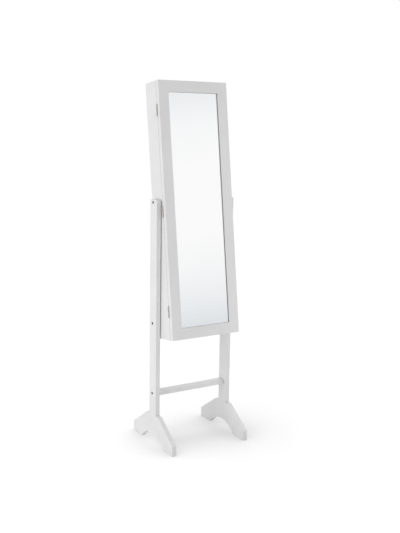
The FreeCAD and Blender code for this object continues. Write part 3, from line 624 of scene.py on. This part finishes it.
def strike_screws(frame, place, data, finish):
    """Two screws through each strike plate into the back of the door."""
    for number, (low, high) in enumerate(upright_solids(frame, "strike_plates", place), 1):
        middle = (low + high) / 2
        for end in (-1, 1):
            center = Vector((middle.x, high.y, middle.z + end * STRIKE_SCREW_SPACING / 2))
            spot = place @ along((0, 1, 0), center, STRIKE_SPIN * end)
            name = "strike_screw_%d_%s" % (number, "upper" if end > 0 else "lower")
            place_piece(name, data, finish, "door", spot)


def catch_screws(frame, place, data, finish):
    """Two screws through each catch housing into the side panel."""
    for number, (low, high) in enumerate(upright_solids(frame, "catch_housings", place), 1):
        middle = (low + high) / 2
        levels = {"lower": low.z + CATCH_SCREW_INSET, "upper": high.z - CATCH_SCREW_INSET}
        for end, z in levels.items():
            center = Vector((low.x - CATCH_SCREW_RISE, middle.y, z))
            spot = place @ along((-1, 0, 0), center, CATCH_SPIN * number)
            name = "catch_screw_%d_%s" % (number, end)
            place_piece(name, data, finish, "cabinet", spot)


def back_screws(frame, place, data, finish):
    """Screws that hold the edge of the back board to the side panels."""
    low, high = upright_box(frame, "back_panel", place)
    inner_low, inner_high = upright_box(frame, "back_lining", place)
    side_low, side_high = upright_box(frame, "left_side_panel", place)
    bottom = side_low.z + BACK_SCREW_INSET
    step = (side_high.z - BACK_SCREW_INSET - bottom) / (BACK_SCREWS - 1)
    for side, x in (("left", (low.x + inner_low.x) / 2), ("right", (high.x + inner_high.x) / 2)):
        for index in range(BACK_SCREWS):
            center = Vector((x, high.y, bottom + index * step))
            spot = place @ along((0, 1, 0), center, BACK_SPIN * index)
            name = "back_panel_screw_%s_%d" % (side, index + 1)
            place_piece(name, data, finish, "cabinet", spot)


def roll_height(x, row, z, from_end, full):
    """Thickness of the cushion at a point: `full` at a crown, less in valleys and at ends."""
    roll = (row % ROLL_ROWS) / ROLL_ROWS
    crown = math.sin(math.pi * roll) ** ROLL_FULLNESS if roll > 0 else 0.0
    dome = math.sqrt(max(0.0, 1 - (1 - min(1.0, from_end / ROLL_END)) ** 2))
    across_cloth = Vector((x * PUCKERS, z * PUCKERS, PUCKER_LAYER))
    pucker = noise.noise(across_cloth) * PUCKER * (1 - PUCKER_FADE * crown)
    along_roll = Vector((x * RIPPLES, (row // ROLL_ROWS) * ROLL_LAYER_STEP, RIPPLE_LAYER))
    ripple = noise.noise(along_roll) * RIPPLE * crown
    valley = CUSHION_BASE * VALLEY_SHARE
    height = valley + (full - valley) * crown * (END_SHARE + (1 - END_SHARE) * dome)
    return max(CUSHION_RIM, min(full, height + pucker + ripple))


def ring_cushion(frame, place, finish):
    """Row of velvet-covered foam rolls with rounded ends and puckered valleys."""
    low, high = upright_box(frame, "ring_cushion", place)
    rows = CUSHION_ROLLS * ROLL_ROWS
    full = high.y - low.y - CUSHION_AIR
    mesh = bmesh.new()
    grid = []
    for i in range(CUSHION_COLUMNS + 1):
        x = low.x + (high.x - low.x) * (i / CUSHION_COLUMNS)
        from_end = min(x - low.x, high.x - x)
        column = []
        for j in range(rows + 1):
            z = low.z + (high.z - low.z) * j / rows
            y = high.y - roll_height(x, j, z, from_end, full)
            column.append(mesh.verts.new((x, y, z)))
        grid.append(column)
    for left, right in zip(grid, grid[1:]):
        for j in range(rows):
            mesh.faces.new((left[j], right[j], right[j + 1], left[j + 1]))
    border = (
        [column[0] for column in grid]
        + grid[-1][1:]
        + [column[-1] for column in reversed(grid[:-1])]
        + grid[0][-2:0:-1]
    )
    back = [mesh.verts.new((vertex.co.x, high.y, vertex.co.z)) for vertex in border]
    bridge(mesh, back, border)
    mesh.faces.new(list(reversed(back)))
    bmesh.ops.recalc_face_normals(mesh, faces=mesh.faces)
    for face in mesh.faces:
        face.smooth = True
    piece = new_piece("ring_cushion_rolls", mesh, finish, "cabinet", place)
    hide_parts("ring_cushion")


def mirror_pane(frame, place, sheet, coating):
    """Float glass with seamed edges, silvered on its back face."""
    low, high = upright_box(frame, "mirror_glass", place)
    back_y = high.y - COATING_GAP
    sections = (
        (low.y, GLASS_SEAM), (low.y + GLASS_SEAM, 0.0),
        (back_y - GLASS_SEAM, 0.0), (back_y, GLASS_SEAM),
    )
    mesh = bmesh.new()
    rings = []
    for y, inset in sections:
        rings.append([
            mesh.verts.new((low.x + inset, y, low.z + inset)),
            mesh.verts.new((high.x - inset, y, low.z + inset)),
            mesh.verts.new((high.x - inset, y, high.z - inset)),
            mesh.verts.new((low.x + inset, y, high.z - inset)),
        ])
    mesh.faces.new(rings[0])
    for near, far in zip(rings, rings[1:]):
        bridge(mesh, far, near)
    back = mesh.faces.new(list(reversed(rings[-1])))
    bmesh.ops.recalc_face_normals(mesh, faces=mesh.faces)
    back.material_index = 1
    piece = new_piece("mirror_pane", mesh, sheet, "door", place)
    piece.data.materials.append(coating)
    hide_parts("mirror_glass")


# ---- Studio ---------------------------------------------------------------------------------
def any_of(nodes, links, outputs):
    """Largest of several 0 or 1 outputs."""
    total = outputs[0]
    for output in outputs[1:]:
        largest = nodes.new("ShaderNodeMath")
        largest.operation = "MAXIMUM"
        links.new(total, largest.inputs[0])
        links.new(output, largest.inputs[1])
        total = largest.outputs[0]
    return total


def floor():
    """Round pale floor: it glows white for the eye and keeps the soft shadow, partly lit shade
    and partly painted shadow where its glow dims near the object.
    """
    material = bpy.data.materials.new("studio_floor")
    material.use_nodes = True
    nodes = material.node_tree.nodes
    links = material.node_tree.links
    nodes.clear()
    diffuse = nodes.new("ShaderNodeBsdfDiffuse")
    rays = nodes.new("ShaderNodeLightPath")
    seen = any_of(nodes, links, [
        rays.outputs["Is Camera Ray"], rays.outputs["Is Glossy Ray"],
        rays.outputs["Is Transmission Ray"]])
    # Painted shadow: ambient occlusion dims the floor's glow near the object.
    nearby = nodes.new("ShaderNodeAmbientOcclusion")
    nearby.samples = FLOOR_SAMPLES
    nearby.inputs["Distance"].default_value = FLOOR_REACH
    near = nodes.new("ShaderNodeMapRange")
    near.inputs["From Min"].default_value = FLOOR_NEAR_OPENNESS
    near.inputs["To Min"].default_value = FLOOR_GLOW_NEAR
    near.inputs["To Max"].default_value = FLOOR_GLOW
    links.new(nearby.outputs["AO"], near.inputs["Value"])
    strength = nodes.new("ShaderNodeMath")
    strength.operation = "MULTIPLY"
    links.new(near.outputs["Result"], strength.inputs[0])
    links.new(seen, strength.inputs[1])
    shade = nodes.new("ShaderNodeMapRange")
    shade.inputs["To Min"].default_value = FLOOR_BOUNCE
    shade.inputs["To Max"].default_value = FLOOR_SHADE
    links.new(seen, shade.inputs["Value"])
    links.new(shade.outputs["Result"], diffuse.inputs["Color"])
    glow = nodes.new("ShaderNodeEmission")
    total = nodes.new("ShaderNodeAddShader")
    output = nodes.new("ShaderNodeOutputMaterial")
    links.new(strength.outputs[0], glow.inputs["Strength"])
    links.new(diffuse.outputs["BSDF"], total.inputs[0])
    links.new(glow.outputs["Emission"], total.inputs[1])
    links.new(total.outputs["Shader"], output.inputs["Surface"])
    mesh = bmesh.new()
    bmesh.ops.create_circle(mesh, cap_ends=True, radius=FLOOR_RADIUS, segments=FLOOR_SIDES)
    data = bpy.data.meshes.new("studio_floor")
    mesh.to_mesh(data)
    mesh.free()
    data.materials.append(material)
    piece = bpy.data.objects.new("studio_floor", data)
    bpy.context.scene.collection.objects.link(piece)
    return piece


def studio_world():
    """Soft light on the object; white for the eye; a soft cove gradient in reflections."""
    world = bpy.data.worlds.new("studio")
    bpy.context.scene.world = world
    world.use_nodes = True
    nodes = world.node_tree.nodes
    links = world.node_tree.links
    nodes.clear()
    place = nodes.new("ShaderNodeTexCoord")
    split = nodes.new("ShaderNodeSeparateXYZ")
    links.new(place.outputs["Generated"], split.inputs["Vector"])
    height = nodes.new("ShaderNodeMapRange")
    height.inputs["From Min"].default_value = COVE_FOOT
    height.inputs["From Max"].default_value = COVE_TOP
    links.new(split.outputs["Z"], height.inputs["Value"])
    cove = nodes.new("ShaderNodeValToRGB")
    set_stops(cove, [
        (position, (value * (1 - blue), value * (1 - blue / 2), value))
        for position, value, blue in COVE
    ])
    links.new(height.outputs["Result"], cove.inputs["Fac"])
    rays = nodes.new("ShaderNodeLightPath")
    mirrored = any_of(nodes, links, [
        rays.outputs["Is Glossy Ray"], rays.outputs["Is Transmission Ray"]])
    light = nodes.new("ShaderNodeBackground")
    growth = nodes.new("ShaderNodeVectorMath")
    growth.operation = "DOT_PRODUCT"
    growth.inputs[1].default_value = SKY_GROWTH
    strength = nodes.new("ShaderNodeMath")
    strength.inputs[1].default_value = SKY_LEVEL
    links.new(place.outputs["Generated"], growth.inputs[0])
    links.new(growth.outputs["Value"], strength.inputs[0])
    links.new(strength.outputs[0], light.inputs["Strength"])
    reflection = nodes.new("ShaderNodeBackground")
    links.new(cove.outputs["Color"], reflection.inputs["Color"])
    white = nodes.new("ShaderNodeBackground")
    white.inputs["Color"].default_value = (1, 1, 1, 1)
    light.inputs["Color"].default_value = (1, 1, 1, 1)
    first = nodes.new("ShaderNodeMixShader")
    second = nodes.new("ShaderNodeMixShader")
    output = nodes.new("ShaderNodeOutputWorld")
    links.new(mirrored, first.inputs["Fac"])
    links.new(light.outputs["Background"], first.inputs[1])
    links.new(reflection.outputs["Background"], first.inputs[2])
    links.new(rays.outputs["Is Camera Ray"], second.inputs["Fac"])
    links.new(first.outputs["Shader"], second.inputs[1])
    links.new(white.outputs["Background"], second.inputs[2])
    links.new(second.outputs["Shader"], output.inputs["Surface"])


def all_but(name, pieces):
    """Light linking collection that leaves some pieces out."""
    collection = bpy.data.collections.new(name)
    for piece in pieces:
        collection.objects.link(piece)
    for link in collection.collection_objects:
        link.light_linking.link_state = "EXCLUDE"
    return collection


def soft_box(name, place, target, width, height, power, color=(1, 1, 1), unlit=None):
    """Lamp for the object, not seen in the mirror; `unlit` is a piece that it leaves out."""
    data = bpy.data.lights.new(name, "AREA")
    data.shape = "RECTANGLE"
    data.size = width
    data.size_y = height
    data.energy = power
    data.color = color
    light = bpy.data.objects.new(name, data)
    light.location = place
    light.rotation_euler = (target - place).to_track_quat("-Z", "Y").to_euler()
    light.visible_glossy = False
    light.visible_transmission = False
    bpy.context.scene.collection.objects.link(light)
    if unlit:
        light.light_linking.receiver_collection = all_but("unlit_by_" + name, [unlit])


def ceiling_light(receiver, clear_nodes):
    """Wide soft light from above, on the floor alone; `clear_nodes` throw no shadow in it."""
    data = bpy.data.lights.new("ceiling", "SUN")
    data.energy = CEILING_STRENGTH
    data.angle = CEILING_SPREAD
    light = bpy.data.objects.new("ceiling", data)
    light.rotation_euler = (*CEILING_TILT, 0)
    light.visible_glossy = False
    bpy.context.scene.collection.objects.link(light)
    lit = bpy.data.collections.new("lit_by_ceiling")
    lit.objects.link(receiver)
    light.light_linking.receiver_collection = lit
    light.light_linking.blocker_collection = all_but("clear_of_ceiling", clear_nodes)


def camera():
    """The solved camera; its lens is for the height of the picture."""
    forward = Vector((
        math.sin(CAMERA_YAW) * math.cos(CAMERA_PITCH),
        math.cos(CAMERA_YAW) * math.cos(CAMERA_PITCH),
        -math.sin(CAMERA_PITCH)))
    level = Vector((math.cos(CAMERA_YAW), -math.sin(CAMERA_YAW), 0))
    down = forward.cross(level)
    right = level * math.cos(CAMERA_ROLL) + down * math.sin(CAMERA_ROLL)
    up = level * math.sin(CAMERA_ROLL) - down * math.cos(CAMERA_ROLL)
    data = bpy.data.cameras.new("camera")
    data.sensor_fit = "VERTICAL"
    data.sensor_height = FRAME_HEIGHT
    data.lens = CAMERA_LENS
    eye = bpy.data.objects.new("camera", data)
    turn = Matrix((right, up, -forward)).transposed().to_4x4()
    eye.matrix_world = Matrix.Translation(CAMERA_PLACE) @ turn
    bpy.context.scene.collection.objects.link(eye)
    bpy.context.scene.camera = eye


def main():
    for leftover in list(bpy.data.objects):
        bpy.data.objects.remove(leftover)
    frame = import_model()
    place = cabinet_frame(frame)
    finishes = {name: finish() for name, finish in FINISHES.items()}
    dress_nodes(frame, finishes)
    screw = cross_screw_mesh()
    hinge_screws(frame, place, screw, finishes["hinge_steel"])
    zinc_screw = screw.copy()
    zinc_screw.materials.clear()
    strike_screws(frame, place, zinc_screw, finishes["zinc_steel"])
    catch_screws(frame, place, zinc_screw, finishes["zinc_steel"])
    back_screws(frame, place, zinc_screw, finishes["zinc_steel"])
    ring_cushion(frame, place, finishes["velvet"])
    mirror_pane(frame, place, glass(), finishes["mirror_silver"])
    ground = floor()
    ceiling_light(ground, [frame["nodes"][name] for name in CLEAR_OF_CEILING])
    studio_world()
    soft_box("key", KEY_PLACE, KEY_TARGET, KEY_WIDTH, KEY_HEIGHT, KEY_POWER, KEY_COLOR)
    soft_box("fill", FILL_PLACE, FILL_TARGET, FILL_WIDTH, FILL_HEIGHT, FILL_POWER, unlit=ground)
    camera()
    bpy.context.scene.view_settings.view_transform = "Standard"


main()
